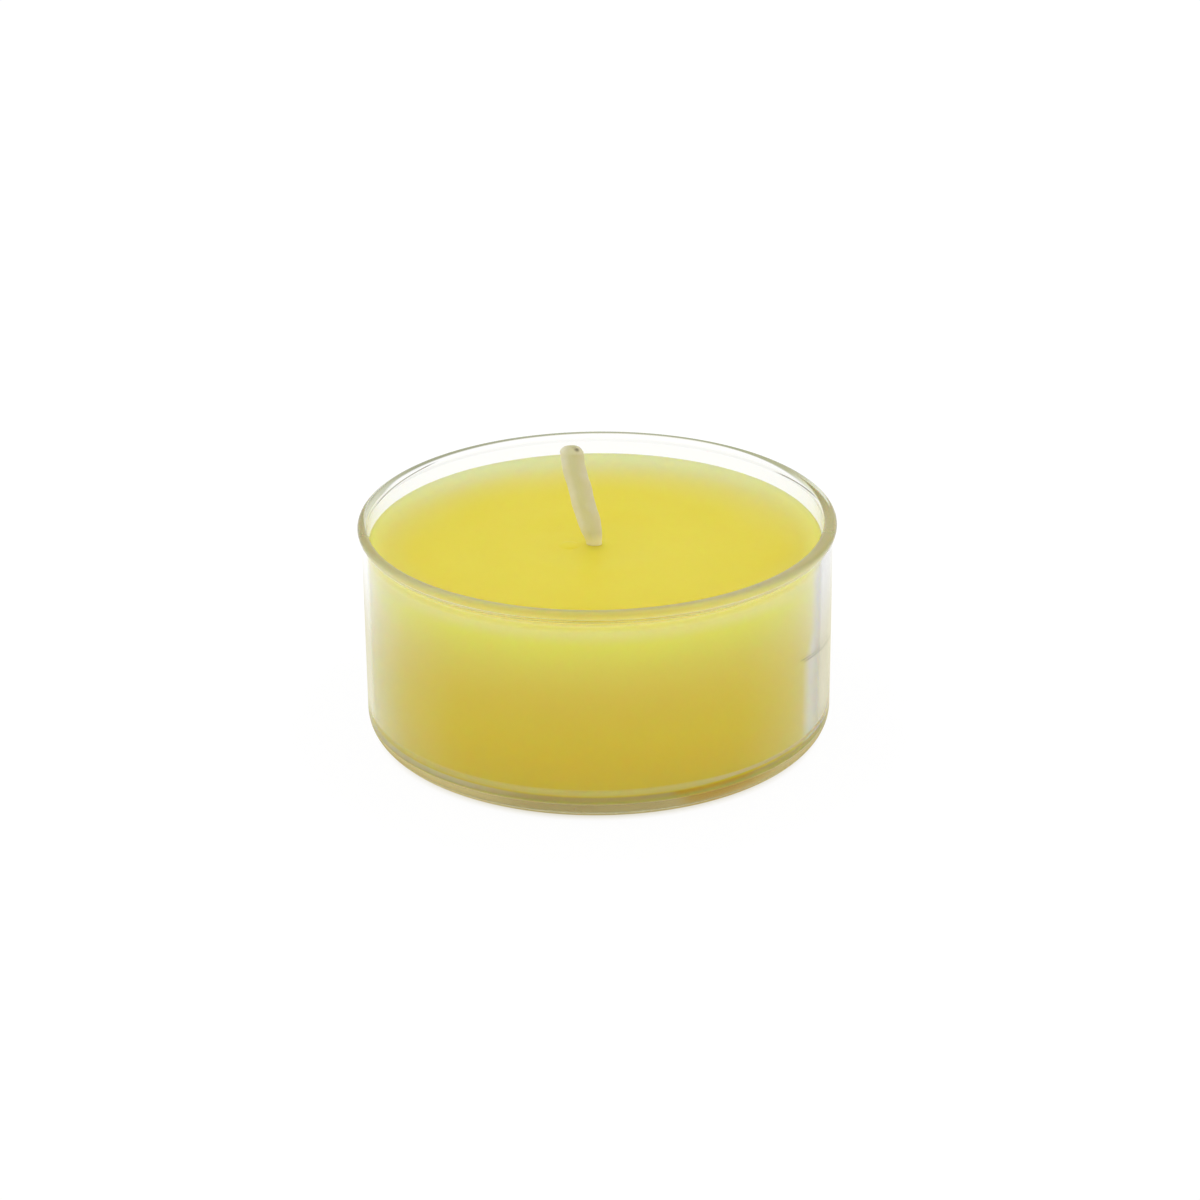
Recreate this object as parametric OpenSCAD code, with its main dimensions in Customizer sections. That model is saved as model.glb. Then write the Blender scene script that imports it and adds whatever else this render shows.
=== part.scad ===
// Tea light candle: a clear moulded cup, filled with yellow wax, with a plaited wick
// that stands in a stamped metal sustainer on the cup's floor.
// The origin is the centre of the foot, and +Z is up. Sizes are in millimetres.

/* [Cup] */
// Outside diameter over the lip
cup_d = 38.2; // [30:0.1:60]
// Height from the foot to the top of the lip
cup_h = 17.9; // [12:0.1:30]
// Thickness of the wall
wall_t = 0.6; // [0.4:0.05:1.2]
// Thickness of the floor
floor_t = 0.7; // [0.4:0.05:1.5]
// How much less the wall's outside radius is at the base than under the lip
wall_draft = 0.05; // [0:0.05:0.5]
// How far the lip stands out from the wall
lip_out = 0.3; // [0.2:0.05:1]
// Radius of the lip's outer round, which runs over into a slope below
lip_round = 0.4; // [0.1:0.05:0.6]
// Radius of the rounded inner edge of the mouth
mouth_round = 0.35; // [0.05:0.05:0.5]
// Outside radius between the wall and the foot
base_round = 2; // [1:0.1:3.5]
// Inside radius between the wall and the floor
inner_round = 1.3; // [0.4:0.1:2.5]
// How far the foot ring stands below the floor
foot_h = 0.5; // [0.2:0.05:1.2]
// Width of the flat ring that the cup stands on
foot_w = 1; // [0.4:0.1:3]
// Diameter of the round mark that the mould's gate leaves under the floor
gate_d = 1.6; // [1:0.1:3]
// Height of the gate mark
gate_h = 0.12; // [0.05:0.01:0.3]

/* [Wax] */
// Depth of the wax below the top of the lip
fill_drop = 2; // [1:0.1:5]
// How far the wax creeps up the wall at its edge
creep_h = 0.4; // [0.05:0.05:0.8]
// How far in from its crest the creep reaches
creep_w = 1.4; // [0.3:0.1:3]
// Radius of the round from the crest of the creep down to the wall
edge_round = 0.4; // [0.05:0.05:0.8]
// Depth of the shallow hollow that the setting wax leaves around the wick
hollow_h = 0.12; // [0:0.02:0.4]
// Radius of the hollow
hollow_r = 7; // [5:0.5:14]
// Height of the collar of wax at the foot of the wick
collar_h = 0.3; // [0.1:0.05:0.6]
// Radius of the collar
collar_r = 1.9; // [1.4:0.1:3]
// Height of the blister of wax beside the wick
blister_h = 0.12; // [0.05:0.01:0.3]
// Radius of the blister
blister_r = 0.75; // [0.4:0.05:1.2]
// How far the blister lies to the left of the wick
blister_away = 1.95; // [1:0.05:4]

/* [Wick] */
// Width across the plait
wick_w = 1.9; // [1.4:0.05:2.3]
// Thickness through the plait
wick_t = 1.55; // [1.3:0.05:1.8]
// Diameter of each of the three strands
strand_d = 1.25; // [1:0.05:1.4]
// Length in which a strand crosses over and comes back
plait_pitch = 8; // [2.5:0.1:12]
// Depth of the grooves that the film of wax leaves between the strands
groove_h = 0.05; // [0.02:0.01:0.15]
// Width of the wick where it leaves the wax
pinch_w = 1.3; // [1:0.05:1.75]
// Height of the wick above the wax
wick_out = 8.4; // [4:0.1:20]
// How far the tip leans over to the left
wick_lean = 1.75; // [0:0.05:4]
// How far the sustainer and the wick stand to the right of the cup's axis
wick_x = -0.25; // [-2:0.05:2]
// How far they stand behind the cup's axis
wick_y = -0.9; // [-2:0.05:2]
// Height over which the end of the wick is worn round
tip_round = 0.6; // [0.2:0.05:1]
// Depth of the pit in the cut end
pit_h = 0.35; // [0.1:0.05:0.6]
// How far the pit lies to the right of the wick's middle
pit_x = 0.32; // [0:0.01:0.35]

/* [Wick sustainer] */
// Diameter of the disc
disc_d = 13; // [10:0.5:20]
// Thickness of the sheet metal
sheet_t = 0.25; // [0.15:0.05:0.4]
// Diameter of the raised middle of the disc
crown_d = 7; // [5:0.1:9]
// How far the middle of the disc is raised
crown_h = 0.5; // [0.2:0.05:1]
// Height of the neck above the raised middle
neck_h = 2.4; // [1.5:0.1:5]
// Number of crimps that close the neck on the wick
crimps = 4; // [2:1:6]
// Depth of each crimp
crimp_h = 0.1; // [0.05:0.01:0.13]

/* [Fit] */
// Gap between the wax and the cup, left as the wax shrinks
wax_gap = 0.03; // [0.01:0.01:0.1]
// Gap between the wick and what it passes through
wick_gap = 0.04; // [0.03:0.01:0.1]
// Gap between the sustainer and the wax and floor around it
disc_gap = 0.03; // [0.01:0.01:0.1]

/* [Hidden] */
$fn = 96;

// Steps in a rounded edge or flank
arc_steps = 8;
// Points around the wick, and the height from one ring of points to the next
wick_sides = 24;
ring_step = 0.25;
// Cuts run on past the face they open by this much
over = 0.1;
// Mounds on the wax start this far below its face
mound_sink = 0.01;

// Heights
floor_z = foot_h + floor_t;
wax_z = cup_h - fill_drop;
disc_z = floor_z + disc_gap;
neck_z = disc_z + sheet_t + crown_h + neck_h;
tip_z = wax_z + wick_out;

// Radii
wall_r = cup_d/2 - lip_out;
base_r = wall_r - wall_draft;
foot_r = base_r - base_round;
foot_slope = foot_h/2;
bead_r = min(lip_round, 0.45*(wall_t + lip_out));
mouth_r = min(mouth_round, 0.45*(wall_t + lip_out));
hollow_flat = hollow_r/2;
neck_in = wick_w/2 + wick_gap;
neck_out = neck_in + sheet_t;

// The lip's underside slopes up at 45 degrees from here, out of a small hollow round
lip_cove = 0.1;
lip_foot_z = cup_h - lip_out - sqrt(2)*bead_r;

// Half of the wick's room for its strands' centres to wander, across and through the plait
strand_x = (wick_w - strand_d)/2;
strand_y = (wick_t - strand_d)/2;
// Height over which the pinch at the wax fades out
pinch_reach = 1.2;
// Share of the lean that the wick's axis has reached at each share of its height above the wax
lean_shape = [[0, 0], [0.1, 0.03], [0.22, 0.22], [0.47, 0.52], [0.83, 0.93], [0.93, 0.98], [1, 1]];
// The worn end: share of the girth, and share of tip_round that lies above
tip_shape = [[0.985, 0.75], [0.955, 0.5], [0.91, 0.3], [0.84, 0.15], [0.75, 0.05], [0.64, 0], [0.5, 0.03]];

function mix(a, b, t) = a + (b - a)*t;
function unit(v) = v/norm(v);
function arc(x, z, r, from, to) =
    [for (i = [0:arc_steps]) let (a = mix(from, to, i/arc_steps)) [x + r*cos(a), z + r*sin(a)]];

// Inside radius of the cup at a height
function bore_r(z) = mix(base_r, wall_r, (z - base_round)/(lip_foot_z - base_round)) - wall_t;

// Radius of the wax at the wall, of the crest of its creep, and of where the creep starts
wax_rim = bore_r(wax_z) - wax_gap;
crest_r = wax_rim - edge_round;
creep_from = crest_r - creep_w;

// Height of the wax's top face at a distance from the cup's axis: flat within the hollow's floor
function wax_top(r) = let (
    creep = max(0, (r - creep_from)/creep_w),
    bowl = cos(180*min(1, max(0, (r - hollow_flat)/(hollow_r - hollow_flat))))
) wax_z + creep_h*creep*creep - hollow_h*(1 + bowl)/2;

// Share of its full girth that the wick has at a height
function girth(z) = 1 - (1 - pinch_w/wick_w)*exp(-pow((z - wax_z)/pinch_reach, 2));

// Share of the lean at a share of the height above the wax, with the corners of the shape eased
function lean(t) = let (e = 0.04)
    (lookup(t - e, lean_shape) + lookup(t, lean_shape) + lookup(t + e, lean_shape))/3;

// The wick's axis at a height: upright in the neck and the wax, then over to the left
function axis(z) = [wick_x - wick_lean*lean((z - wax_z)/wick_out), wick_y, z];

// Centre of a strand in the plait's section, as it wanders from side to side and over the others
function strand(turn) = [strand_x*sin(turn), strand_y*sin(2*turn)];

// How far a strand reaches from the wick's axis in a direction
function strand_reach(a, centre) = let (
    along = centre[0]*cos(a) + centre[1]*sin(a),
    aside = centre[0]*sin(a) - centre[1]*cos(a)
) along + sqrt(strand_d*strand_d/4 - aside*aside);

// How far the film of wax between the strands reaches
function film_reach(a) = let (x = wick_w/2 - groove_h, y = wick_t/2 - groove_h)
    x*y/norm([y*cos(a), x*sin(a)]);

function plait_reach(a, z) = max(
    film_reach(a),
    max([for (k = [0:2]) strand_reach(a, strand(360*z/plait_pitch + 120*k))])
);

// One ring of the wick's surface around its axis, or moved aside from it
function wick_ring(z, share = 1, drop = 0, aside = [0, 0, 0]) = let (
    way = unit(axis(z + ring_step) - axis(z - ring_step)),
    right = unit([1, 0, 0] - way*way[0]),
    back = cross(way, right)
) [for (i = [0:wick_sides - 1])
    let (a = 360*i/wick_sides, r = share*girth(z)*plait_reach(a, z))
    axis(z) + aside - drop*way + r*cos(a)*right + r*sin(a)*back];

// Outline of the cup from the axis out under the foot, up the wall, over the lip and down inside
cup_outline = concat(
    [[0, foot_h - gate_h], [gate_d/2 - gate_h, foot_h - gate_h], [gate_d/2, foot_h]],
    [[foot_r - foot_w - foot_slope, foot_h], [foot_r - foot_w, 0]],
    arc(foot_r, base_round, base_round, -90, 0),
    arc(wall_r + lip_cove, lip_foot_z - (sqrt(2) - 1)*lip_cove, lip_cove, 180, 135),
    arc(cup_d/2 - bead_r, cup_h - bead_r, bead_r, -45, 90),
    arc(wall_r - wall_t + mouth_r, cup_h - mouth_r, mouth_r, 90, 180),
    arc(bore_r(floor_z + inner_round) - inner_round, floor_z + inner_round, inner_round, 0, -90),
    [[0, floor_z]]
);

// Outline of the wax from the floor out to the wall, up to its creeping edge and back along the top
wax_outline = concat(
    [[0, floor_z + wax_gap]],
    arc(bore_r(floor_z + inner_round) - inner_round, floor_z + inner_round, inner_round - wax_gap, -90, 0),
    arc(crest_r, wax_z + creep_h - edge_round, edge_round, 0, 90),
    [for (i = [1:arc_steps]) let (r = mix(crest_r, creep_from, i/arc_steps)) [r, wax_top(r)]],
    [for (i = [0:arc_steps]) let (r = mix(hollow_r, hollow_flat, i/arc_steps)) [r, wax_top(r)]],
    [[0, wax_top(0)]]
);

module cup() {
    color([0.93, 0.93, 0.84, 0.4]) rotate_extrude() polygon(cup_outline);
}

// A low mound on the wax, rooted below its face, from the foot of its flank to its top
module mound(flank) {
    root = 2*hollow_h + over;
    translate([0, 0, -mound_sink]) rotate_extrude()
        polygon(concat([[0, -root], [flank[0][0], -root]], flank));
}

// The wax climbs the wick in a mound with a hollow flank
module collar() {
    flank = [for (i = [0:arc_steps]) let (t = i/arc_steps) [mix(collar_r, wick_w/2, t), collar_h*t*t]];
    mound(concat(flank, [[0, collar_h]]));
}

// A low blister, domed but for a small flat on top
module blister() {
    flat = blister_r/8;
    dome = [for (i = [0:arc_steps]) let (t = i/arc_steps) [mix(blister_r, flat, t), blister_h*sin(90*t)]];
    mound(concat(dome, [[0, blister_h]]));
}

// Room in the wax for the sustainer and the wick, from the floor up through the collar
module core() {
    rotate_extrude() polygon(concat(
        [
            [0, floor_z - over],
            [disc_d/2 + disc_gap, floor_z - over],
            [disc_d/2 + disc_gap, disc_z + sheet_t + disc_gap],
            [crown_d/2 + crown_h + disc_gap, disc_z + sheet_t + disc_gap],
            [crown_d/2 + disc_gap, disc_z + sheet_t + crown_h + disc_gap],
            [neck_out + disc_gap, disc_z + sheet_t + crown_h + disc_gap],
            [neck_out + disc_gap, neck_z + disc_gap],
            [neck_in, neck_z + disc_gap]
        ],
        [for (i = [0:arc_steps]) let (z = mix(wax_z - 2*pinch_reach, wax_z + collar_h + over, i/arc_steps))
            [girth(z)*wick_w/2 + wick_gap, z]],
        [[0, wax_z + collar_h + over]]
    ));
}

module wax() {
    foot_z = wax_top(norm([wick_x, wick_y]));
    color([0.9, 0.83, 0.31]) difference() {
        union() {
            rotate_extrude() polygon(wax_outline);
            translate([wick_x, wick_y, foot_z]) collar();
            translate([wick_x - blister_away, wick_y, foot_z]) blister();
        }
        translate([wick_x, wick_y, 0]) core();
    }
}

// The plait is one closed skin of rings around the wick's axis, with a worn end and a pit in it
module wick() {
    start_z = disc_z + over;
    pit = [pit_x, -0.1, 0];
    turns = floor((tip_z - tip_round - start_z)/ring_step);
    rings = concat(
        [for (i = [0:turns]) wick_ring(mix(start_z, tip_z - tip_round, i/turns))],
        [for (s = tip_shape) wick_ring(tip_z, s[0], tip_round*s[1])],
        [wick_ring(tip_z, 0.3, 0.23*pit_h, 0.7*pit), wick_ring(tip_z, 0.16, 0.57*pit_h, pit)]
    );
    last = len(rings) - 1;
    n = wick_sides;
    points = concat([for (ring = rings) each ring], [axis(start_z), axis(tip_z) + pit - [0, 0, pit_h]]);
    walls = [for (k = [0:last - 1], i = [0:n - 1]) let (a = k*n + i, b = k*n + (i + 1) % n)
        each [[a, b + n, b], [a, a + n, b + n]]];
    base = [for (i = [0:n - 1]) [i, (i + 1) % n, len(points) - 2]];
    end = [for (i = [0:n - 1]) [last*n + (i + 1) % n, last*n + i, len(points) - 1]];
    color([0.82, 0.79, 0.5]) polyhedron(points, concat(walls, base, end));
}

module wick_sustainer() {
    crown_z = disc_z + crown_h;
    color("silver") translate([wick_x, wick_y, 0]) difference() {
        rotate_extrude() polygon([
            [disc_d/2, disc_z],
            [disc_d/2, disc_z + sheet_t],
            [crown_d/2 + crown_h, disc_z + sheet_t],
            [crown_d/2, crown_z + sheet_t],
            [neck_out, crown_z + sheet_t],
            [neck_out, neck_z],
            [neck_in, neck_z],
            [neck_in, crown_z],
            [crown_d/2 - sheet_t/2, crown_z],
            [crown_d/2 + crown_h - sheet_t/2, disc_z]
        ]);
        for (i = [0:crimps - 1])
            rotate(360*(i + 0.5)/crimps)
                translate([neck_out + sheet_t - crimp_h, 0, mix(crown_z + sheet_t, neck_z, 0.6)])
                    rotate([90, 0, 0]) cylinder(h = neck_in, r = sheet_t, center = true);
    }
}

cup();
wax();
wick();
wick_sustainer();
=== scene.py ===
import math

import bpy
import bmesh
from mathutils import Matrix, Vector, noise


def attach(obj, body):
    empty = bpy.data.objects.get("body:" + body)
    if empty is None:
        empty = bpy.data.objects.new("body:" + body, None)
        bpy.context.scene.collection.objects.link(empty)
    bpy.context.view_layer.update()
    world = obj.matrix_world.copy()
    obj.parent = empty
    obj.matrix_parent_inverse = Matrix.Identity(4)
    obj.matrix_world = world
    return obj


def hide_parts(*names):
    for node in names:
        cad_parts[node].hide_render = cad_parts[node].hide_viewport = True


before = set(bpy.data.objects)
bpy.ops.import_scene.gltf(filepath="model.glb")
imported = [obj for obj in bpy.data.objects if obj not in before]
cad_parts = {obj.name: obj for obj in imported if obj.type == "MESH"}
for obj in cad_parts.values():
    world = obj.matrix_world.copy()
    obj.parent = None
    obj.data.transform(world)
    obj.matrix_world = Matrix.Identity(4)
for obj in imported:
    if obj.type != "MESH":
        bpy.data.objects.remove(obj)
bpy.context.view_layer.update()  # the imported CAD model, in metres, with the foot on z = 0

mm = 0.001  # sizes and places below are in millimetres, from the centre of the foot
rootTwo = 1.414


# Helpers for curves and meshes

def mix(a, b, t):
    return a + (b - a) * t


def smoothStep(t):
    t = min(1, max(0, t))
    return t * t * (3 - 2 * t)


def arcPoints(x, z, radius, fromDegrees, toDegrees, steps):
    points = []
    for i in range(steps + 1):
        angle = math.radians(mix(fromDegrees, toDegrees, i / steps))
        points.append((x + radius * math.cos(angle), z + radius * math.sin(angle)))
    return points


def circlePoints(centre, radius, z, sides):
    ring = []
    for i in range(sides):
        angle = 2 * math.pi * i / sides
        ring.append(Vector((centre[0] + radius * math.cos(angle), centre[1] + radius * math.sin(angle), z)))
    return ring


# One closed skin over a row of rings, with a point at each end
def skinRings(name, rings, firstPoint, lastPoint, sharpAngle):
    build = bmesh.new()
    rows = [[build.verts.new(point * mm) for point in ring] for ring in rings]
    sides = len(rings[0])
    for low, high in zip(rows, rows[1:]):
        for i in range(sides):
            j = (i + 1) % sides
            build.faces.new((low[i], low[j], high[j], high[i]))
    for point, row in ((firstPoint, rows[0]), (lastPoint, rows[-1])):
        tip = build.verts.new(point * mm)
        for i in range(sides):
            build.faces.new((tip, row[i], row[(i + 1) % sides]))
    bmesh.ops.recalc_face_normals(build, faces=build.faces)
    mesh = bpy.data.meshes.new(name)
    build.to_mesh(mesh)
    build.free()
    mesh.polygons.foreach_set("use_smooth", [True] * len(mesh.polygons))
    mesh.set_sharp_from_angle(angle=math.radians(sharpAngle))
    piece = bpy.data.objects.new(name, mesh)
    bpy.context.scene.collection.objects.link(piece)
    weighted = piece.modifiers.new("weighted normals", "WEIGHTED_NORMAL")
    weighted.keep_sharp = True
    return piece


# Helpers for shader nodes

# A number that comes out of a node, so that shader maths reads as plain expressions
class Wire:
    def __init__(self, board, socket):
        self.board = board
        self.socket = socket

    def __add__(self, other):
        return self.board.maths("ADD", self, other)

    def __radd__(self, other):
        return self.board.maths("ADD", other, self)

    def __sub__(self, other):
        return self.board.maths("SUBTRACT", self, other)

    def __rsub__(self, other):
        return self.board.maths("SUBTRACT", other, self)

    def __mul__(self, other):
        return self.board.maths("MULTIPLY", self, other)

    def __rmul__(self, other):
        return self.board.maths("MULTIPLY", other, self)

    def __truediv__(self, other):
        return self.board.maths("DIVIDE", self, other)

    def __rtruediv__(self, other):
        return self.board.maths("DIVIDE", other, self)

    def __pow__(self, other):
        return self.board.maths("POWER", self, other)

    def __rpow__(self, other):
        return self.board.maths("POWER", other, self)

    def out(self, name):
        return Wire(self.board, self.socket.node.outputs[name])


# The node tree of a material or of the world
class Board:
    def __init__(self, owner):
        owner.use_nodes = True
        self.tree = owner.node_tree
        self.tree.nodes.clear()

    def node(self, kind, settings=None, sockets=None):
        made = self.tree.nodes.new(kind)
        for name, value in (settings or {}).items():
            if name == "stops":
                ramp = made.color_ramp
                while len(ramp.elements) < len(value):
                    ramp.elements.new(0.5)
                for element, (place, colour) in zip(ramp.elements, value):
                    element.position = place
                    element.color = (*colour, 1)
            else:
                setattr(made, name, value)
        for key, value in (sockets or {}).items():
            if isinstance(value, Wire):
                self.tree.links.new(value.socket, made.inputs[key])
            else:
                made.inputs[key].default_value = value
        return Wire(self, made.outputs[0]) if made.outputs else None

    def maths(self, operation, *numbers):
        return self.node("ShaderNodeMath", {"operation": operation}, dict(enumerate(numbers)))

    # Place on the object, in millimetres
    def place(self):
        return self.stretch(self.node("ShaderNodeTexCoord").out("Object"), (1 / mm, 1 / mm, 1 / mm))

    def axes(self, vector):
        split = self.node("ShaderNodeSeparateXYZ", None, {0: vector})
        return split.out("X"), split.out("Y"), split.out("Z")

    def length(self, vector):
        return self.node("ShaderNodeVectorMath", {"operation": "LENGTH"}, {0: vector}).out("Value")

    def distance(self, vector, point):
        away = self.node("ShaderNodeVectorMath", {"operation": "DISTANCE"}, {0: vector, 1: point})
        return away.out("Value")

    def stretch(self, vector, scale):
        return self.node("ShaderNodeVectorMath", {"operation": "MULTIPLY"}, {0: vector, 1: scale})

    # Soft step of a value, from 0 at the first place to 1 at the second, which may be the lower one
    def rise(self, value, start, full):
        return self.node(
            "ShaderNodeMapRange",
            {"interpolation_type": "SMOOTHSTEP"},
            {"Value": value, "From Min": start, "From Max": full},
        )

    # Soft window on a value, up to 1 between the first two places and down again between the last two
    def window(self, value, start, full, fade, end):
        return self.rise(value, start, full) * self.rise(value, end, fade)

    # Cloudy pattern from 0 to 1, with features of about size millimetres
    def cloud(self, vector, size, detail):
        return self.node("ShaderNodeTexNoise", None, {"Vector": vector, "Scale": 1 / size, "Detail": detail})

    def blendColour(self, share, first, second):
        picked = self.node("ShaderNodeMix", {"data_type": "RGBA"}, {"Factor": share})
        for key, value in (("A_Color", first), ("B_Color", second)):
            socket = next(s for s in picked.socket.node.inputs if s.identifier == key)
            if isinstance(value, Wire):
                self.tree.links.new(value.socket, socket)
            else:
                socket.default_value = (*value, 1)
        return Wire(self, next(s for s in picked.socket.node.outputs if s.identifier == "Result_Color"))

    def bump(self, height, depth):
        return self.node("ShaderNodeBump", None, {"Height": height, "Distance": depth * mm, "Strength": 1.0})


def newMaterial(name):
    material = bpy.data.materials.new(name)
    return material, Board(material)


def finish(board, shader, depth=None):
    sockets = {"Surface": shader}
    if depth:
        sockets["Volume"] = depth
    board.node("ShaderNodeOutputMaterial", None, sockets)


# Camera

view = {
    "eye": (-0.02, -268.17, 128.49),
    "aim": (0.17, 0, 10.61),
    "roll": -0.00895,  # in radians, with the right side of the picture's contents a little higher
    "lens": 109.19,
    "sensor": 36,
    "near": 10,
    "far": 20000,
}


def setCamera():
    data = bpy.data.cameras.new("camera")
    data.lens = view["lens"]
    data.sensor_width = view["sensor"]
    data.clip_start = view["near"] * mm
    data.clip_end = view["far"] * mm
    camera = bpy.data.objects.new("camera", data)
    bpy.context.scene.collection.objects.link(camera)
    eye = Vector(view["eye"]) * mm
    towards = (Vector(view["aim"]) * mm - eye).to_track_quat("-Z", "Y").to_matrix().to_4x4()
    camera.matrix_world = Matrix.Translation(eye) @ towards @ Matrix.Rotation(view["roll"], 4, "Z")
    bpy.context.scene.camera = camera


# Light and floor

studio = {
    "horizon": 2.12,  # light from the horizon and from overhead, and the height over which it changes
    "zenith": 0.55,
    "skyReach": (0.0, 0.9),
    "floorHalf": 1500,
    "floorShade": 0.65,  # the table's colour, where it takes light and shadow
    "floorWhite": 1.04,
    "floorReach": (16, 18.4),  # distance from the candle's axis over which the floor turns plain white
    "plasticReach": 2,  # the clear plastic sees that change this much further out
    "underGlow": (0.46, 0.39, 0.17),  # light that comes down through the wax onto the table
    "tableGlow": (0.8, 0.77, 0.6),  # the same light around the candle, which only the plastic shows
    "glowReach": (45, 27),  # that light comes up between these distances
    "shadowShare": 0.08,  # share of the table's look that takes the candle's shadow, up to full between these
    "shadowReach": (32, 24),
    "lampSize": 500,
    "lampHeight": 600,
    "lampPower": 0.25,
    "bounces": 160,  # light runs a long way round inside the clear rim and foot
    "throughBounces": 60,
    "mattBounces": 6,
}


# 1 for what the camera sees itself, in a reflection or through the clear cup, and 0 for light on the object
def seenDirectly(board):
    path = board.node("ShaderNodeLightPath")
    straight = path.out("Is Camera Ray") + path.out("Is Glossy Ray") + path.out("Is Transmission Ray")
    bounced = board.maths("MINIMUM", path.out("Diffuse Depth"), 1.0)
    return board.maths("MINIMUM", straight, 1.0) * (1 - bounced)


def setBounces():
    cycles = bpy.context.scene.cycles
    cycles.max_bounces = studio["bounces"]
    cycles.diffuse_bounces = studio["mattBounces"]
    cycles.glossy_bounces = studio["bounces"]
    cycles.transmission_bounces = studio["throughBounces"]


def setWorld():
    world = bpy.data.worlds.new("white studio")
    bpy.context.scene.world = world
    board = Board(world)
    up = board.axes(board.node("ShaderNodeTexCoord").out("Generated"))[2]
    level = studio["horizon"] + board.rise(up, *studio["skyReach"]) * (studio["zenith"] - studio["horizon"])
    seen = seenDirectly(board)
    strength = seen + (1 - seen) * level
    light = board.node("ShaderNodeBackground", None, {"Color": (1, 1, 1, 1), "Strength": strength})
    board.node("ShaderNodeOutputWorld", None, {"Surface": light})


def whiteTable():
    material, board = newMaterial("white table")
    byEye = board.node("ShaderNodeLightPath").out("Is Camera Ray")
    distance = board.length(board.place())
    away = board.rise(distance - studio["plasticReach"] * (1 - byEye), *studio["floorReach"])
    share = seenDirectly(board)
    shade = studio["floorShade"]
    matt = board.node("ShaderNodeBsdfDiffuse", None, {"Color": (shade, shade, shade, 1)})
    near = board.rise(distance, *studio["glowReach"]) * (1 - byEye)
    light = board.blendColour(near, (1, 1, 1), studio["tableGlow"])
    light = board.blendColour(away, studio["underGlow"], light)
    glow = board.node("ShaderNodeEmission", None, {"Color": light, "Strength": studio["floorWhite"]})
    shadow = studio["shadowShare"] * byEye * away * board.rise(distance, *studio["shadowReach"])
    lit = board.node("ShaderNodeMixShader", None, {0: shadow, 1: glow, 2: matt})
    finish(board, board.node("ShaderNodeMixShader", None, {0: share, 1: matt, 2: lit}))
    return material


def layFloor():
    half = studio["floorHalf"] * mm
    mesh = bpy.data.meshes.new("floor")
    corners = [(-half, -half, 0), (half, -half, 0), (half, half, 0), (-half, half, 0)]
    mesh.from_pydata(corners, [], [(0, 1, 2, 3)])
    floor = bpy.data.objects.new("floor", mesh)
    bpy.context.scene.collection.objects.link(floor)
    mesh.materials.append(whiteTable())


def hangLamp():
    data = bpy.data.lights.new("softbox", "AREA")
    data.shape = "SQUARE"
    data.size = studio["lampSize"] * mm
    data.energy = studio["lampPower"]
    lamp = bpy.data.objects.new("softbox", data)
    lamp.location = (0, 0, studio["lampHeight"] * mm)
    bpy.context.scene.collection.objects.link(lamp)


setCamera()
bpy.context.scene.view_settings.view_transform = "Standard"
setBounces()
setWorld()
layFloor()
hangLamp()
print("camera, floor and light are set")


# Clear cup

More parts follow.
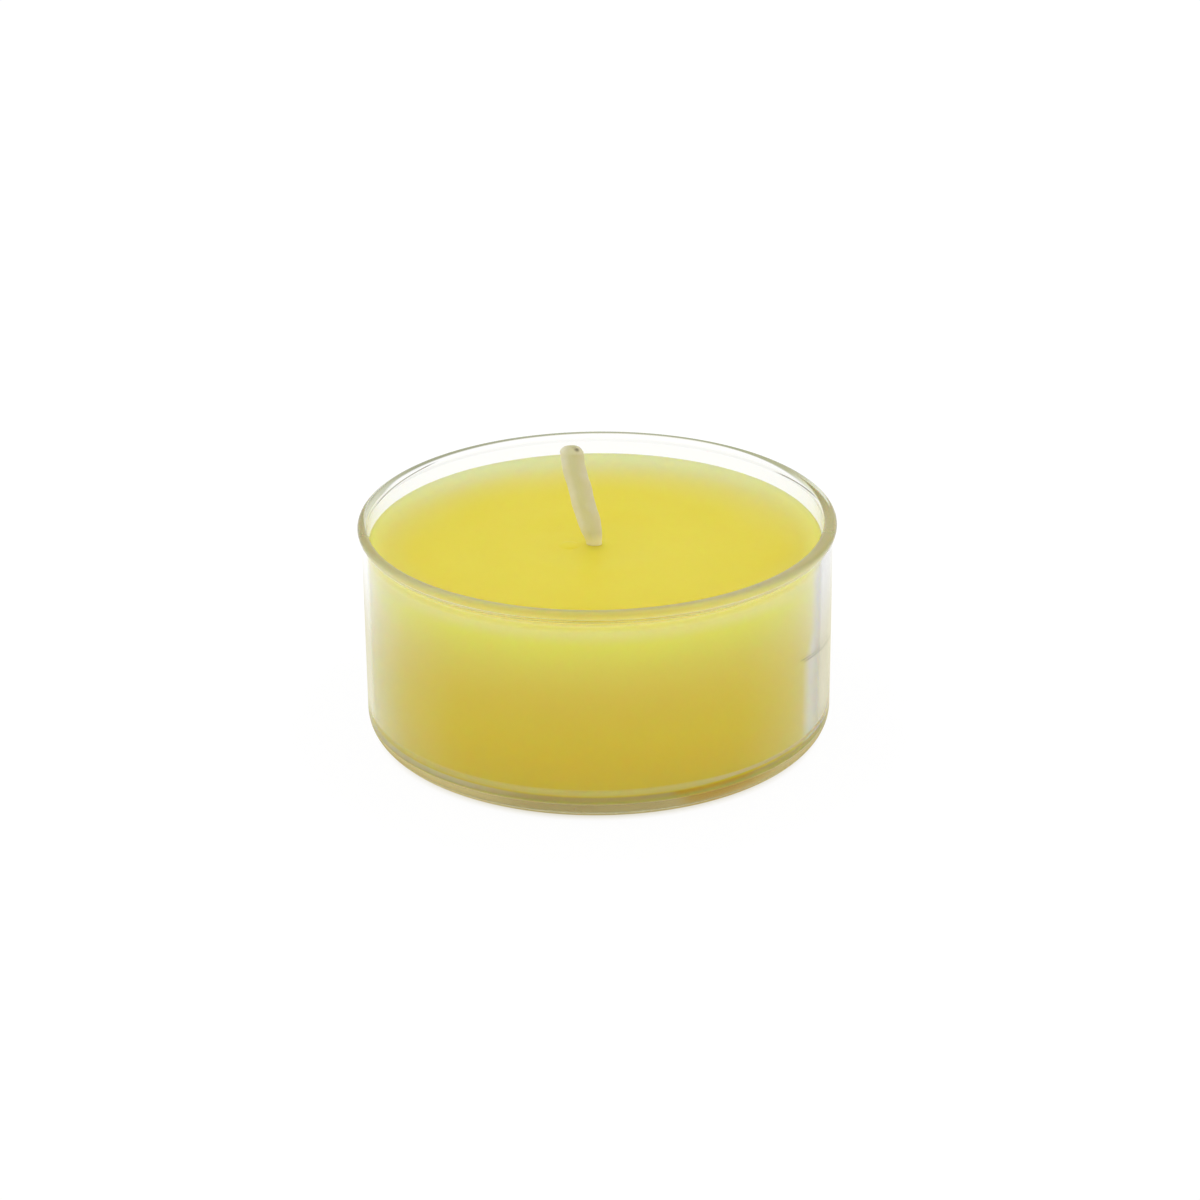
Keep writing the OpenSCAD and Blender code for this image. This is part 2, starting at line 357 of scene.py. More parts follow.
cup = {
    "rim": 19.09,  # radius over the lip
    "height": 17.9,
    "wall": 0.6,
    "floor": 0.7,
    "wallDraft": 0.05,  # the wall leans out by this much on its way up
    "lipOut": 0.3,
    "lipCove": 0.1,  # round between the wall and the lip's underside
    "lipRound": 0.4,
    "mouthRound": 0.35,
    "baseRound": 2.0,
    "innerRound": 1.3,
    "boreAside": -0.15,  # the bore stands this far off the axis, so that the wall is thinner on the left
    "footHeight": 0.5,
    "footWidth": 1.0,
    "gateWidth": 1.6,  # mark that moulding leaves under the floor
    "gateHeight": 0.12,
    "sides": 256,
    "arcSteps": 10,
    "sharpAngle": 35,
    # Look of the plastic. Two numbers are where a soft step starts and ends, and four are a soft window.
    # A turn is in radians about the axis: 0 on the right, -1.57 in front and 1.57 at the back.
    "refraction": 1.43,
    "clearTints": ((0.985, 0.985, 0.975), (0.995, 0.995, 0.99)),
    "depthTint": (0.8, 0.8, 0.3, 1),  # tint that thick plastic takes
    "depthStrength": 15,
    "rough": 0.015,  # clean plastic, to which each of the next adds its own
    "haze": {"size": 4, "rough": 0.02},
    "scuffs": {"size": 0.6, "along": 0.25, "cut": (0.62, 0.8), "rough": 0.05},
    "lip": {"z": (16.7, 17.0), "rough": 0.08, "frontRough": 0.22, "frontY": (2, -6)},
    "foot": {"z": (1.4, 0.5), "rough": 0.22},
    # The lip's top, where light and shade are painted, starts at this radius, and further in on the right and
    # on the left
    "crown": {
        "radius": 18.36,
        "rightMore": 0.32,
        "rightTurns": (1.1, 0.3),
        "leftMore": 0.2,
        "leftTurns": (2.6, 3.0),
        "frontRadius": 18.15,
        "rearY": (-3, 3),
        "fade": 0.12,
        "z": (17.5, 17.7),
    },
    # Painted light and shade on that top by the turn, pale and yellow where light comes up the wall from the
    # wax and dark at the back: left, front, right, back and left again
    "crownLightAndShade": (
        (-3.14, (0.62, 0.64, 0.42)),
        (-2.7, (0.9, 0.92, 0.62)),
        (-1.57, (0.8, 0.79, 0.6)),
        (-0.6, (0.95, 0.98, 0.8)),
        (0, (0.82, 0.9, 0.72)),
        (0.3, (0.6, 0.64, 0.42)),
        (0.55, (0.23, 0.24, 0.1)),
        (0.9, (0.14, 0.17, 0.06)),
        (1.6, (0.2, 0.23, 0.15)),
        (2.5, (0.14, 0.16, 0.08)),
        (2.9, (0.4, 0.42, 0.25)),
        (3.14, (0.62, 0.64, 0.42)),
    ),
    # The sloping underside of the lip in front, with painted light from the wax, amber in the middle and
    # paler at the sides
    "slope": {
        "z": (16.9, 16.97, 17.24, 17.29),
        "radius": (18.792, 18.806),
        "frontY": (6, -6),
        "middlePaintedTint": (0.52, 0.41, 0.03),
        "sideTint": (0.58, 0.51, 0.27),
        "sideX": (4, 12),
    },
    # Thin lines of painted shade inside the lip at the back, on the right and on the left
    "mouthRadius": (18.6, 18.5),
    "mouthShadeLines": (
        {
            "z": 17.4,
            "turn": 0.6,
            "climb": -0.9,
            "width": (0.07, 0.02),
            "turns": (0.15, 0.3, 0.55, 0.65),
            "tint": (0.05, 0.045, 0.035),
        },
        {
            "z": 17.64,
            "turn": 2.45,
            "climb": -0.85,
            "width": (0.07, 0.02),
            "turns": (2.35, 2.45, 2.85, 3.0),
            "tint": (0.13, 0.125, 0.09),
        },
    ),
    # Smeared patch on the right, and the scratch that crosses its front edge
    "patch": {
        "turns": (-0.42, -0.34, -0.15, 0.0),
        "z": (8, 14),
        "lowTint": (0.8, 0.79, 0.795),
        "highTint": (0.71, 0.705, 0.705),
        "share": 0.7,
    },
    "scratch": {
        "z": 9.4,
        "turn": -0.532,
        "climb": -1.9,
        "width": (0.08, 0.02),
        "turns": (-0.57, -0.5, -0.17, -0.12),
        "tint": (0.3, 0.3, 0.24),
        "patchTint": (0.06, 0.06, 0.045),
    },
}
floorZ = cup["footHeight"] + cup["floor"]
# The lip's underside slopes at 45 degrees
lipFootZ = cup["height"] - cup["lipOut"] - rootTwo * cup["lipRound"]
wallRadius = cup["rim"] - cup["lipOut"]
baseRadius = wallRadius - cup["wallDraft"]


def boreRadius(z):
    straight = lipFootZ - cup["baseRound"]
    return mix(baseRadius, wallRadius, (z - cup["baseRound"]) / straight) - cup["wall"]


# Two outlines: the outside from the foot to the crown of the lip, and the inside from the lip to the floor
def cupOutlines():
    steps = cup["arcSteps"]
    footRadius = baseRadius - cup["baseRound"]
    top = cup["height"]
    gate = cup["gateWidth"] / 2
    inner = cup["innerRound"]
    innerX = boreRadius(floorZ + inner) - inner
    line = [(gate - cup["gateHeight"], cup["footHeight"] - cup["gateHeight"]), (gate, cup["footHeight"])]
    line += [(footRadius - cup["footWidth"] - cup["footHeight"] / 2, cup["footHeight"])]
    line += [(footRadius - cup["footWidth"], 0)]
    line += arcPoints(footRadius, cup["baseRound"], cup["baseRound"], -90, 0, 2 * steps)
    cove = cup["lipCove"]
    bead = cup["lipRound"]
    line += arcPoints(wallRadius + cove, lipFootZ - (rootTwo - 1) * cove, cove, 180, 135, steps // 2)
    line += arcPoints(cup["rim"] - bead, top - bead, bead, -45, 90, 2 * steps)
    mouth = cup["mouthRound"]
    inside = arcPoints(wallRadius - cup["wall"] + mouth, top - mouth, mouth, 90, 180, 2 * steps)
    inside += arcPoints(innerX, floorZ + inner, inner, 0, -90, 2 * steps)
    return line, inside


def makeCup():
    outside, inside = cupOutlines()
    rings = [circlePoints((0, 0), r, z, cup["sides"]) for r, z in outside]
    rings += [circlePoints((cup["boreAside"], 0), r, z, cup["sides"]) for r, z in inside]
    under = Vector((0, 0, cup["footHeight"] - cup["gateHeight"]))
    return skinRings("clear_cup", rings, under, Vector((cup["boreAside"], 0, floorZ)), cup["sharpAngle"])


# 1 on a thin line that climbs along the wall, and 0 beside it
def thinLine(board, turn, z, line):
    lineZ = line["z"] + line["climb"] * (turn - line["turn"])
    aside = board.maths("ABSOLUTE", z - lineZ)
    return board.rise(aside, *line["width"]) * board.window(turn, *line["turns"])


# 1 on the lip's top, where light and shade are painted, which starts at a radius that changes round the lip
def onCrown(board, radius, turn, y, z):
    crown = cup["crown"]
    rear = board.rise(y, *crown["rearY"])
    start = crown["radius"] - crown["rightMore"] * board.rise(turn, *crown["rightTurns"])
    start = start - crown["leftMore"] * board.rise(turn, *crown["leftTurns"])
    start = crown["frontRadius"] + rear * (start - crown["frontRadius"])
    return board.rise(radius - start, 0.0, crown["fade"]) * board.rise(z, *crown["z"])


def clearPlastic():
    material, board = newMaterial("clear moulded plastic")
    place = board.place()
    x, y, z = board.axes(place)
    radius = board.length(board.stretch(place, (1, 1, 0)))
    turn = board.maths("ARCTAN2", y, x)

    haze = board.cloud(place, cup["haze"]["size"], 4)
    scuffs = board.cloud(board.stretch(place, (1, 1, cup["scuffs"]["along"])), cup["scuffs"]["size"], 5)
    scuffs = board.rise(scuffs, *cup["scuffs"]["cut"])
    lip = board.rise(z, *cup["lip"]["z"])
    foot = board.rise(z, *cup["foot"]["z"])
    rough = cup["rough"] + haze * cup["haze"]["rough"] + scuffs * cup["scuffs"]["rough"]
    lipRough = cup["lip"]["rough"] + cup["lip"]["frontRough"] * board.rise(y, *cup["lip"]["frontY"])
    rough = rough + lip * lipRough + foot * cup["foot"]["rough"]

    clear = board.blendColour(haze, *cup["clearTints"])
    # Painted light and shade on the lip's top, by the turn
    stops = [(0.5 + angle / (2 * math.pi), tint) for angle, tint in cup["crownLightAndShade"]]
    crownTint = board.node("ShaderNodeValToRGB", {"stops": stops}, {0: (turn + math.pi) / (2 * math.pi)})
    clear = board.blendColour(onCrown(board, radius, turn, y, z), clear, crownTint)

    patch = cup["patch"]
    patched = board.window(turn, *patch["turns"]) * (1 - lip)
    smeared = board.blendColour(board.rise(z, *patch["z"]), patch["lowTint"], patch["highTint"])
    clear = board.blendColour(patched * (patch["share"] + (1 - patch["share"]) * haze), clear, smeared)
    scratch = cup["scratch"]
    inPatch = board.rise(turn, *patch["turns"][:2])
    scratchTint = board.blendColour(inPatch, scratch["tint"], scratch["patchTint"])
    clear = board.blendColour(thinLine(board, turn, z, scratch), clear, scratchTint)

    # Painted light from the wax on the lip's sloping underside in front
    slope = cup["slope"]
    onSlope = board.window(z, *slope["z"]) * board.rise(radius, *slope["radius"])
    onSlope = onSlope * board.rise(y, *slope["frontY"])
    atSide = board.rise(board.maths("ABSOLUTE", x), *slope["sideX"])
    slopeTint = board.blendColour(atSide, slope["middlePaintedTint"], slope["sideTint"])
    clear = board.blendColour(onSlope, clear, slopeTint)
    inMouth = board.rise(radius, *cup["mouthRadius"])
    # Painted shade: thin dark lines inside the lip
    for line in cup["mouthShadeLines"]:
        clear = board.blendColour(thinLine(board, turn, z, line) * inMouth, clear, line["tint"])

    shader = board.node(
        "ShaderNodeBsdfPrincipled",
        None,
        {
            "Base Color": clear,
            "Roughness": rough,
            "Transmission Weight": 1.0,
            "IOR": cup["refraction"],
        },
    )
    depthSockets = {"Color": cup["depthTint"], "Density": cup["depthStrength"]}
    finish(board, shader, board.node("ShaderNodeVolumeAbsorption", None, depthSockets))
    return material


cupPiece = makeCup()
cupPiece.data.materials.append(clearPlastic())
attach(cupPiece, "root")
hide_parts("cup")
print("cup:", len(cupPiece.data.polygons), "faces")


# Wick's sizes, which the wax round it shares, and its look

wick = {
    "x": -0.25,
    "y": -0.9,
    "width": 1.9,
    "depth": 1.55,
    "strand": 1.25,  # width of one of the three strands, and the length of one turn of the plait
    "pitch": 8.0,
    "groove": 0.05,
    "pinch": 1.3,  # width where the wick leaves the wax
    "pinchReach": 1.2,
    "footUp": 0.1,  # its foot stands this far above the sustainer's underside
    "out": 8.4,  # length above the wax, and how far the tip leans to the left
    "lean": 1.75,
    "leanShape": ((0, 0), (0.1, 0.03), (0.22, 0.22), (0.47, 0.52), (0.83, 0.93), (0.93, 0.98), (1, 1)),
    "leanEase": 0.04,
    "wayStep": 0.25,  # the wick's direction is taken over this much on either side
    # The worn end: each ring's share of the wick's size and its depth below the tip
    "endLength": 0.6,
    "endRings": (
        (0.98, 0.5),
        (0.95, 0.42),
        (0.9, 0.34),
        (0.83, 0.26),
        (0.74, 0.19),
        (0.62, 0.13),
        (0.48, 0.1),
    ),
    # The pit in that end: each ring's share of the way over to the pit, then as above
    "pit": (0.32, -0.15, 0),
    "pitRings": ((0.7, 0.28, 0.14), (1, 0.15, 0.3)),
    "pitDepth": 0.45,
    "sides": 48,
    "ringStep": 0.1,
    "sharpAngle": 60,
    # Look of the cotton. Across goes from -1 on the left to 1 on the right.
    # Painted light and shade: the left side paler than the right, and darker down the middle in blotches
    "acrossLightTints": ((0.63, 0.6, 0.44), (0.56, 0.52, 0.34)),
    "acrossReach": (-0.5, 0.5),
    "middlePaintedTint": (0.55, 0.53, 0.29),
    "middleReach": (-0.75, -0.15, 0.1, 0.7),
    "middleShare": 0.6,
    "spotFrom": (0.42, -0.4, -0.22),
    "spotRadius": (0.3, 0.08),
    "spotTint": (0.2, 0.18, 0.1),
    # Painted light on the paler foot, over the shade where the wick leaves the wax
    "footTint": (0.7, 0.65, 0.37),
    "footZ": (17.1, 16.1),
    "soakedTint": (0.8, 0.72, 0.32),
    "soakedZ": (16.1, 15.8),
    "fibreSize": 0.2,
    "blotchSize": 1.5,
}


# Wick sustainer's sizes, which the recess in the wax needs, and its finish

sustainer = {
    "disc": 13.0,
    "sheet": 0.25,
    "crown": 7.0,
    "crownHeight": 0.5,
    "neckHeight": 2.4,
    "gap": 0.03,
    "wickGap": 0.04,
    "steelTints": ((0.58, 0.58, 0.56), (0.68, 0.68, 0.66)),
    "dullSize": 3,
    "grainSize": 0.2,
}


# Wax

wax = {
    "drop": 2.0,  # below the lip
    "creepHeight": 0.4,  # climb of the wax at the wall
    "creepWidth": 1.4,
    "hollowHeight": 0.12,  # dip round the wick
    "hollowRadius": 7.0,
    "collarHeight": 0.15,  # climb of the wax at the wick
    "collarRadius": 1.9,
    "blisterHeight": 0.12,  # small bubble beside the wick
    "blisterRadius": 0.75,
    "blisterAway": 1.95,
    "gap": 0.03,
    "grip": 0.01,  # at the foot the wax wets the plastic, so its skin lies this far inside it
    "gripTop": 2.58,
    "edgeRound": 0.4,
    "rippleHeight": 0.02,
    "rippleScale": 0.35,
    "rippleSeed": 7,
    "calmWidth": 1.5,  # width of the edge that the ripple dies away over
    "sides": 256,
    "floorRing": 10.0,  # radius of the ring on the floor, and how the rings above it are spread
    "cornerSteps": 16,
    "wallRings": (4.0, 7.0, 10.0, 13.0, 15.0),
    "edgeRing": 0.1,
    "edgeSteps": 8,
    "topSteps": 90,
    "topCrowding": 0.9,
    "wickRings": 5,  # inside this radius the rings are about the wick
    "innerRing": 0.3,
    "sharpAngle": 40,
    # Look of the wax. Two numbers are where a soft step starts and ends, and four are a soft window.
    "mottleSize": 7,
    "grainSize": 0.4,
    "streakSize": 4,
    "topTints": ((0.76, 0.635, 0.05), (0.79, 0.67, 0.065)),
    # Painted light on the top: a pale edge, narrow in front and wide at the back
    "edgeLightTint": (0.78, 0.81, 0.42),
    "frontEdge": {"radius": (13.5, 18.4), "power": 1.7, "share": 0.24},
    "rearEdge": {
        "y": (-4, 18),
        "radius": 9,
        "leftMore": 1.5,
        "leftX": (-4, -10),
        "full": 17.4,
        "power": 2.2,
    },
    "wallRadius": (17.6, 18),
    "wallZ": (16.3, 15.9),
    # Painted light and shade on the wax behind the wall: paler towards the crest and darker towards the foot
    "sideLightAndShadeTints": ((0.935, 0.73, 0.013), (0.98, 0.93, 0.11)),
    "sideZ": (7, 16.4),
    "sidePower": 1.8,
    # Painted shade: darker and redder towards the foot
    "lowTint": (0.905, 0.675, 0.02),
    "lowZ": (7.5, 3),
    # Painted sheen towards the sides, brightest near the silhouettes
    "grazingSheenTint": (0.9, 0.9, 0.5),
    "grazingSheenX": (10, 17.5),
    "grazingSheenShare": 0.22,
    "glowTint": (1.0, 0.98, 0.62),
    "glowX": (14.5, 17.8),
    "glowShare": 0.28,
    # Painted light at the crest, where light comes in at the top
    "crestLightTint": (0.95, 0.85, 0.28),
    "crestZ": (14.6, 16),
    # Frosted strip on the right, which starts a little further back above
    "frostTint": (1.0, 0.94, 0.78),
    "frostFrom": -0.53,
    "frostMore": 0.07,
    "frostZ": (8.5, 11.5),
    "frostFade": 0.1,
    "frostEnd": (0.15, -0.05),
    # Painted highlight round the corner of the cup, and painted shade on the foot below it, paler on the
    # left, with a painted amber reflection right of the middle
    "ringZ": 2.4,
    "ringHalf": (0.1, 0.4),
    "ringThinner": 0.2,
    "ringHighlightTints": ((0.94, 0.75, 0.22), (1.0, 0.74, 0.36)),
    "ringTurns": (-1.25, -0.9),
    "footZ": (-0.25, -0.45),
    "footShadeTints": ((0.7, 0.52, 0.18), (0.88, 0.75, 0.43)),
    "footX": (-4, -12),
    "amberX": (5, 6.3, 11, 12.6),
    "amberY": (-3, -8),
    "amberReflectionTint": (0.8, 0.45, 0.015),
    # Painted glow of the wax's underside, which stands in for light that it gives to the clear foot
    "underZ": (1.5, 1.22),
    "underTints": ((0.16, 0.135, 0.083), (0.25, 0.22, 0.14)),
    "underSideTint": (0.32, 0.285, 0.185),
    "underSideX": (3, 10),
    "underAmberTint": (0.225, 0.138, 0.03),
    "lightDepth": 5,  # how deep light goes into the wax
}
waxZ = cup["height"] - wax["drop"]
tipZ = waxZ + wick["out"]


# Share of its full width that the wick has at a height
def girth(z):
    return 1 - (1 - wick["pinch"] / wick["width"]) * math.exp(-(((z - waxZ) / wick["pinchReach"]) ** 2))


# Share of its full lean that the wick has, by the share of its height above the wax
def leanShare(t):
    shape = wick["leanShape"]
    if t <= shape[0][0]:
        return shape[0][1]
    for (t0, s0), (t1, s1) in zip(shape, shape[1:]):
        if t <= t1:
            return mix(s0, s1, (t - t0) / (t1 - t0))
    return shape[-1][1]


def wickAxis(z):
    t = (z - waxZ) / wick["out"]
    ease = wick["leanEase"]
    eased = (leanShare(t - ease) + leanShare(t) + leanShare(t + ease)) / 3
    return Vector((wick["x"] - wick["lean"] * eased, wick["y"], z))


# Radius of the crest where the wax has crept highest, before it rounds over to the wall
def waxEdge():
    return boreRadius(waxZ) - wax["gap"] - wax["edgeRound"]


def waxTop(x, y):
    r = math.hypot(x - cup["boreAside"], y)
    rim = waxEdge()
    creep = max(0, (r - rim + wax["creepWidth"]) / wax["creepWidth"])
    flat = wax["hollowRadius"] / 2
    bowl = math.cos(math.pi * min(1, max(0, (r - flat) / (wax["hollowRadius"] - flat))))
    height = waxZ + wax["creepHeight"] * creep * creep - wax["hollowHeight"] * (1 + bowl) / 2
    away = math.hypot(x - wick["x"], y - wick["y"])
    climb = (wax["collarRadius"] - away) / (wax["collarRadius"] - wick["pinch"] / 2)
    height += wax["collarHeight"] * min(1, max(0, climb)) ** 2
    dome = math.hypot(x - wick["x"] + wax["blisterAway"], y - wick["y"]) / wax["blisterRadius"]
    height += wax["blisterHeight"] * math.sqrt(max(0, 1 - dome * dome))
    calm = 1 - smoothStep((r - rim + wax["calmWidth"]) / wax["calmWidth"])
    ripple = noise.noise(Vector((x, y, wax["rippleSeed"])) * wax["rippleScale"])
    return height + calm * wax["rippleHeight"] * ripple


# Recess over the sustainer, from the top of its neck down to the floor; above it the wax grips the wick
def recessRings(core, neckTop):
    gap = sustainer["gap"]
    sheetTop = floorZ + sustainer["gap"] + sustainer["sheet"] + gap
    crownTop = sheetTop + sustainer["crownHeight"]
    neckRadius = wick["width"] / 2 + sustainer["wickGap"] + sustainer["sheet"] + gap
    crownRadius = sustainer["crown"] / 2 + gap
    discRadius = sustainer["disc"] / 2 + gap
    outline = [
        (neckRadius, neckTop),
        (neckRadius, crownTop),
        (crownRadius, crownTop),
        (crownRadius + sustainer["crownHeight"], sheetTop),
        (discRadius, sheetTop),
        (discRadius, floorZ - wax["grip"]),
    ]
    return [circlePoints(core, r, z, wax["sides"]) for r, z in outline]


# Out over the floor, round the corner, up the wall and over to the crest
def sideRings():
    inner = cup["innerRound"]
    innerX = boreRadius(floorZ + inner) - inner
    crest = waxZ + wax["creepHeight"]
    outline = [(wax["floorRing"], floorZ - wax["grip"])]
    outline += arcPoints(innerX, floorZ + inner, inner + wax["grip"], -90, 0, wax["cornerSteps"])
    for z in (wax["gripTop"], *wax["wallRings"], crest - wax["edgeRound"] - wax["edgeRing"]):
        outline.append((boreRadius(z) - wax["gap"], z))
    outline += arcPoints(waxEdge(), crest - wax["edgeRound"], wax["edgeRound"], 0, 90, wax["edgeSteps"])
    return [circlePoints((cup["boreAside"], 0), r, z, wax["sides"]) for r, z in outline]


# Back over the top to the wick, from rings about the bore's axis to rings about the wick's
def topRings(core):
    rim = waxEdge()
    rings = []
    for i in range(1, wax["topSteps"]):
        radius = mix(rim, wax["innerRing"], (i / wax["topSteps"]) ** wax["topCrowding"])
        hold = smoothStep((rim - radius) / (rim - wax["wickRings"]))
        centre = (mix(cup["boreAside"], core[0], hold), core[1] * hold)
        ring = circlePoints(centre, radius, 0, wax["sides"])
        for point in ring:
            point.z = waxTop(point.x, point.y)
        rings.append(ring)
    return rings


def makeWax():
    core = (wick["x"], wick["y"])
    neckTop = floorZ + sustainer["gap"] + sustainer["sheet"] + sustainer["crownHeight"]
    neckTop += sustainer["neckHeight"] + sustainer["gap"]
    rings = recessRings(core, neckTop) + sideRings() + topRings(core)
    under = Vector((*core, neckTop))
    return skinRings("wax", rings, under, Vector((*core, waxTop(*core))), wax["sharpAngle"])


# Painted light on the top: a narrow pale edge in front and a wide one at the back, narrower on the left
def topPaintedLight(board, radius, x, y):
    front = wax["frontEdge"]
    rear = wax["rearEdge"]
    narrow = board.rise(radius, *front["radius"]) ** front["power"] * front["share"]
    start = rear["radius"] + rear["leftMore"] * board.rise(x, *rear["leftX"])
    wide = board.maths("MAXIMUM", (radius - start) / (rear["full"] - start), 0.0) ** rear["power"]
    return narrow + board.rise(y, *rear["y"]) * (wide - narrow)


# Colour of the wax behind the wall, from the foot up to its crest, with painted light and shade on it
def sideColour(board, turn, aside, x, z, amber):
    # Painted shade darker towards the foot, painted sheen towards the sides and painted light at the crest
    side = board.blendColour(board.rise(z, *wax["sideZ"]) ** wax["sidePower"], *wax["sideLightAndShadeTints"])
    side = board.blendColour(board.rise(z, *wax["lowZ"]), side, wax["lowTint"])
    side = board.blendColour(wax["grazingSheenShare"] * board.rise(aside, *wax["grazingSheenX"]), side, wax["grazingSheenTint"])
    side = board.blendColour(wax["glowShare"] * board.rise(aside, *wax["glowX"]), side, wax["glowTint"])
    side = board.blendColour(board.rise(z, *wax["crestZ"]), side, wax["crestLightTint"])
    frostFrom = wax["frostFrom"] + wax["frostMore"] * board.rise(z, *wax["frostZ"])
    frosted = board.rise(turn - frostFrom, 0.0, wax["frostFade"]) * board.rise(turn, *wax["frostEnd"])
    side = board.blendColour(frosted, side, wax["frostTint"])

    # Painted highlight round the cup's corner, then painted shade and a painted amber reflection on the foot
    # below
    rightSide = board.rise(turn, *wax["ringTurns"])
    toRing = board.maths("ABSOLUTE", z - wax["ringZ"])
    ringEnd = wax["ringHalf"][1] - wax["ringThinner"] * rightSide
    ring = 1 - board.rise(toRing, wax["ringHalf"][0], ringEnd)
    side = board.blendColour(ring, side, board.blendColour(rightSide, *wax["ringHighlightTints"]))
    foot = board.blendColour(board.rise(x, *wax["footX"]), *wax["footShadeTints"])
    foot = board.blendColour(amber, foot, wax["amberReflectionTint"])
    return board.blendColour(board.rise(z - wax["ringZ"], *wax["footZ"]), side, foot)


# Painted glow of the wax's underside: streaky, paler at the sides, and amber where the painted reflection
# lies
def undersideLight(board, place, aside, amber):
    streaks = board.cloud(board.stretch(place, (1, 0.3, 1)), wax["streakSize"], 2)
    pooled = board.blendColour(streaks, *wax["underTints"])
    pooled = board.blendColour(board.rise(aside, *wax["underSideX"]), pooled, wax["underSideTint"])
    return board.blendColour(amber, pooled, wax["underAmberTint"])


def pouredWax():
    material, board = newMaterial("yellow poured wax")
    place = board.place()
    x, y, z = board.axes(place)
    radius = board.length(board.stretch(place, (1, 1, 0)))
    turn = board.maths("ARCTAN2", y, x)
    aside = board.maths("ABSOLUTE", x)
    # Where the painted amber reflection lies, right of the middle in front
    amber = board.window(x, *wax["amberX"]) * board.rise(y, *wax["amberY"])
    top = board.blendColour(board.cloud(place, wax["mottleSize"], 3), *wax["topTints"])
    # Painted light on the top's edge
    top = board.blendColour(topPaintedLight(board, radius, x, y), top, wax["edgeLightTint"])
    onWall = board.rise(radius, *wax["wallRadius"]) * board.rise(z, *wax["wallZ"])
    under = board.rise(z, *wax["underZ"])
    grain = board.cloud(place, wax["grainSize"], 3)
    shader = board.node(
        "ShaderNodeBsdfPrincipled",
        {"subsurface_method": "RANDOM_WALK"},
        {
            # painted light and shade on the top and on the wax behind the wall
            "Base Color": board.blendColour(onWall, top, sideColour(board, turn, aside, x, z, amber)),
            "Roughness": 0.42 + grain * 0.12,
            "IOR": 1.44,
            "Specular IOR Level": 0.05,
            "Subsurface Weight": 1.0,
            "Subsurface Radius": (1.0, 0.7, 0.15),
            "Subsurface Scale": wax["lightDepth"] * mm,
            # painted glow of the underside, which stands in for light reaching the clear foot
            "Emission Color": board.blendColour(under, (0, 0, 0), undersideLight(board, place, aside, amber)),
            "Emission Strength": 1.0,
            "Normal": board.bump(grain, 0.01),
        },
    )
    finish(board, shader)
    return material


waxPiece = makeWax()
waxPiece.data.materials.append(pouredWax())
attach(waxPiece, "root")
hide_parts("wax")
print("wax:", len(waxPiece.data.polygons), "faces")


# Plaited wick

def strandReach(angle, turn):
    x = (wick["width"] - wick["strand"]) / 2 * math.sin(turn)
    y = (wick["depth"] - wick["strand"]) / 2 * math.sin(2 * turn)
    along = x * math.cos(angle) + y * math.sin(angle)
    aside = x * math.sin(angle) - y * math.cos(angle)
    return along + math.sqrt(wick["strand"] ** 2 / 4 - aside * aside)


# Reach of the plait's outline: the furthest of its three strands and of the wax that fills the grooves
def plaitReach(angle, z):
    x = wick["width"] / 2 - wick["groove"]
    y = wick["depth"] / 2 - wick["groove"]
    reach = x * y / math.hypot(y * math.cos(angle), x * math.sin(angle))
    for k in range(3):
        turn = 2 * math.pi * (z / wick["pitch"] + k / 3)
        reach = max(reach, strandReach(angle, turn))
    return reach


def wickRing(z, share=1, drop=0):
    step = wick["wayStep"]
    way = (wickAxis(z + step) - wickAxis(z - step)).normalized()
    right = (Vector((1, 0, 0)) - way * way.x).normalized()
    back = way.cross(right)
    centre = wickAxis(z) - way * drop
    ring = []
    for i in range(wick["sides"]):
        angle = 2 * math.pi * i / wick["sides"]
        reach = share * girth(z) * plaitReach(angle, z)
        ring.append(centre + right * (reach * math.cos(angle)) + back * (reach * math.sin(angle)))
    return ring


def makeWick():
    start = floorZ + sustainer["gap"] + wick["footUp"]
    endStart = tipZ - wick["endLength"]
    count = int((endStart - start) / wick["ringStep"])
    rings = [wickRing(mix(start, endStart, i / count)) for i in range(count + 1)]
    rings += [wickRing(tipZ, share, drop) for share, drop in wick["endRings"]]
    pit = Vector(wick["pit"])
    for over, share, drop in wick["pitRings"]:
        rings.append([point + pit * over for point in wickRing(tipZ, share, drop)])
    bottom = wickAxis(tipZ) + pit - Vector((0, 0, wick["pitDepth"]))
    return skinRings("wick", rings, wickAxis(start), bottom, wick["sharpAngle"])


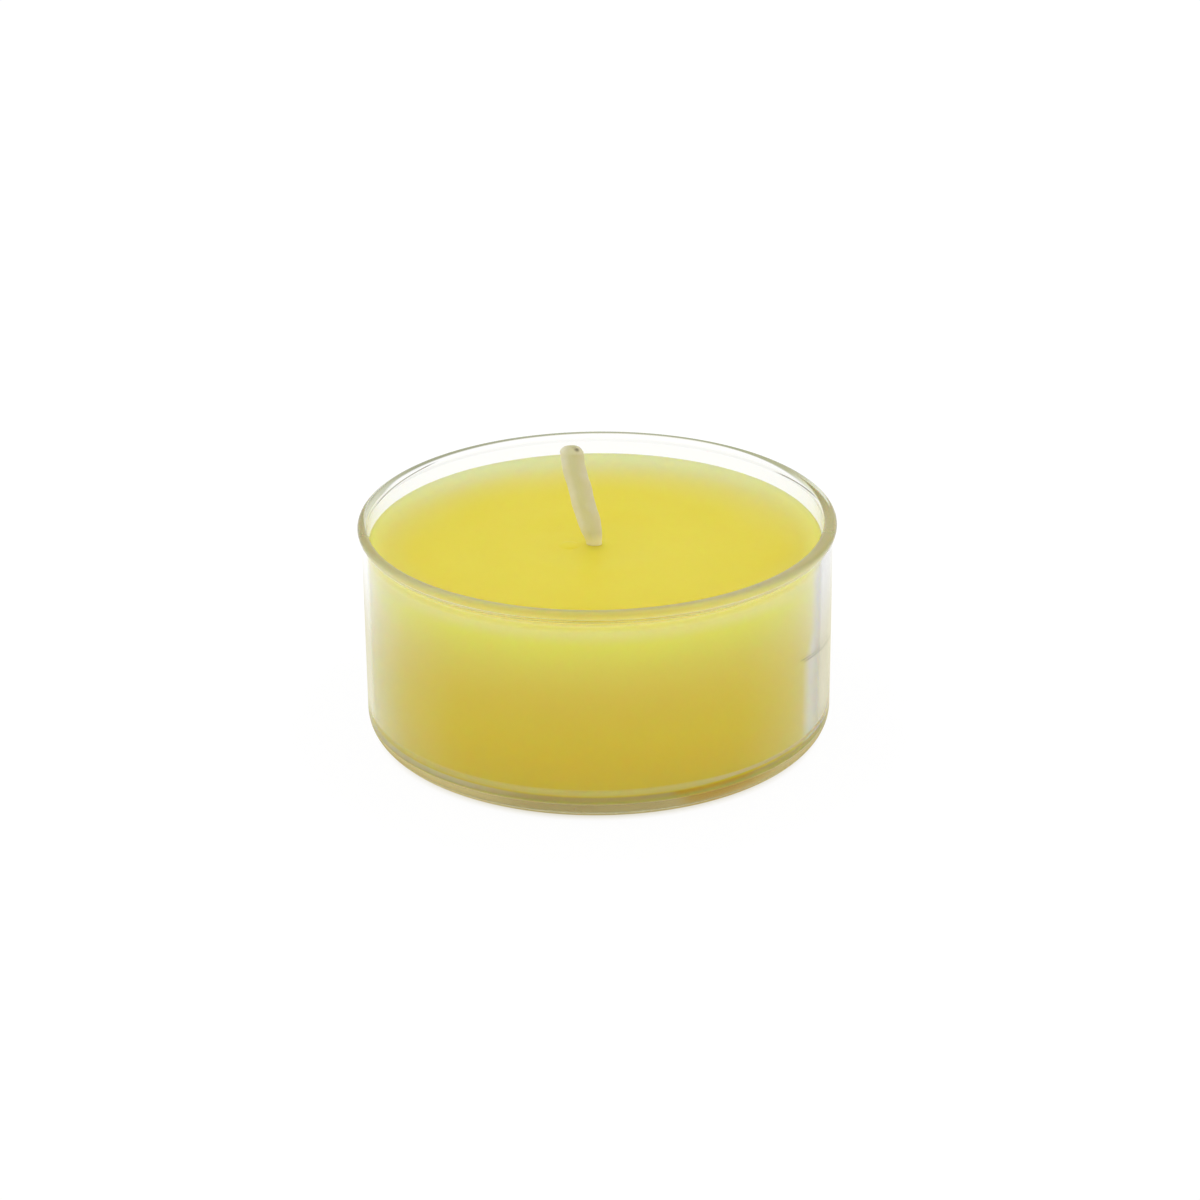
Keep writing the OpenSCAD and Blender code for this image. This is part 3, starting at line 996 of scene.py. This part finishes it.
def waxedCotton():
    material, board = newMaterial("waxed cotton plait")
    place = board.place()
    x, y, z = board.axes(place)
    fibre = board.cloud(board.stretch(place, (1, 1, 0.2)), wick["fibreSize"], 4)
    blotch = board.cloud(place, wick["blotchSize"], 2)
    stops = [(t, (s, s, s)) for t, s in wick["leanShape"]]
    lean = board.node("ShaderNodeValToRGB", {"stops": stops}, {0: (z - waxZ) / wick["out"]})
    across = (x - wick["x"] + lean * wick["lean"]) / (wick["width"] / 2)
    # Painted light and shade: paler on the left, darker down the middle
    cotton = board.blendColour(board.rise(across, *wick["acrossReach"]), *wick["acrossLightTints"])
    middle = board.window(across, *wick["middleReach"])
    middle = middle * (wick["middleShare"] + blotch * (1 - wick["middleShare"]))
    cotton = board.blendColour(middle, cotton, wick["middlePaintedTint"])
    toSpot = board.distance(place, wickAxis(tipZ) + Vector(wick["spotFrom"]))
    cotton = board.blendColour(board.rise(toSpot, *wick["spotRadius"]), cotton, wick["spotTint"])
    # Painted light on the wick's foot
    cotton = board.blendColour(board.rise(z, *wick["footZ"]), cotton, wick["footTint"])
    cotton = board.blendColour(board.rise(z, *wick["soakedZ"]), cotton, wick["soakedTint"])
    shader = board.node(
        "ShaderNodeBsdfPrincipled",
        {"subsurface_method": "RANDOM_WALK"},
        {
            "Base Color": cotton,
            "Roughness": 0.5 + fibre * 0.2,
            "IOR": 1.44,
            "Specular IOR Level": 0.3,
            "Subsurface Weight": 0.6,
            "Subsurface Radius": (1.0, 0.8, 0.4),
            "Subsurface Scale": 0.5 * mm,
            "Normal": board.bump(fibre, 0.03),
        },
    )
    finish(board, shader)
    return material


wickPiece = makeWick()
wickPiece.data.materials.append(waxedCotton())
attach(wickPiece, "root")
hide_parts("wick")
print("wick:", len(wickPiece.data.polygons), "faces")


# Wick sustainer, the CAD node with a better finish

def tinnedSteel():
    material, board = newMaterial("tinned steel sheet")
    place = board.place()
    grain = board.cloud(board.stretch(place, (1, 0.05, 1)), sustainer["grainSize"], 4)
    dull = board.cloud(place, sustainer["dullSize"], 3)
    shader = board.node(
        "ShaderNodeBsdfPrincipled",
        None,
        {
            "Base Color": board.blendColour(dull, *sustainer["steelTints"]),
            "Metallic": 1.0,
            "Roughness": 0.28 + grain * 0.15,
            "Normal": board.bump(grain, 0.005),
        },
    )
    finish(board, shader)
    return material


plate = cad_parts["wick_sustainer"]
steel = tinnedSteel()
if plate.material_slots:
    plate.material_slots[0].material = steel
else:
    plate.data.materials.append(steel)
print("sustainer: finished")
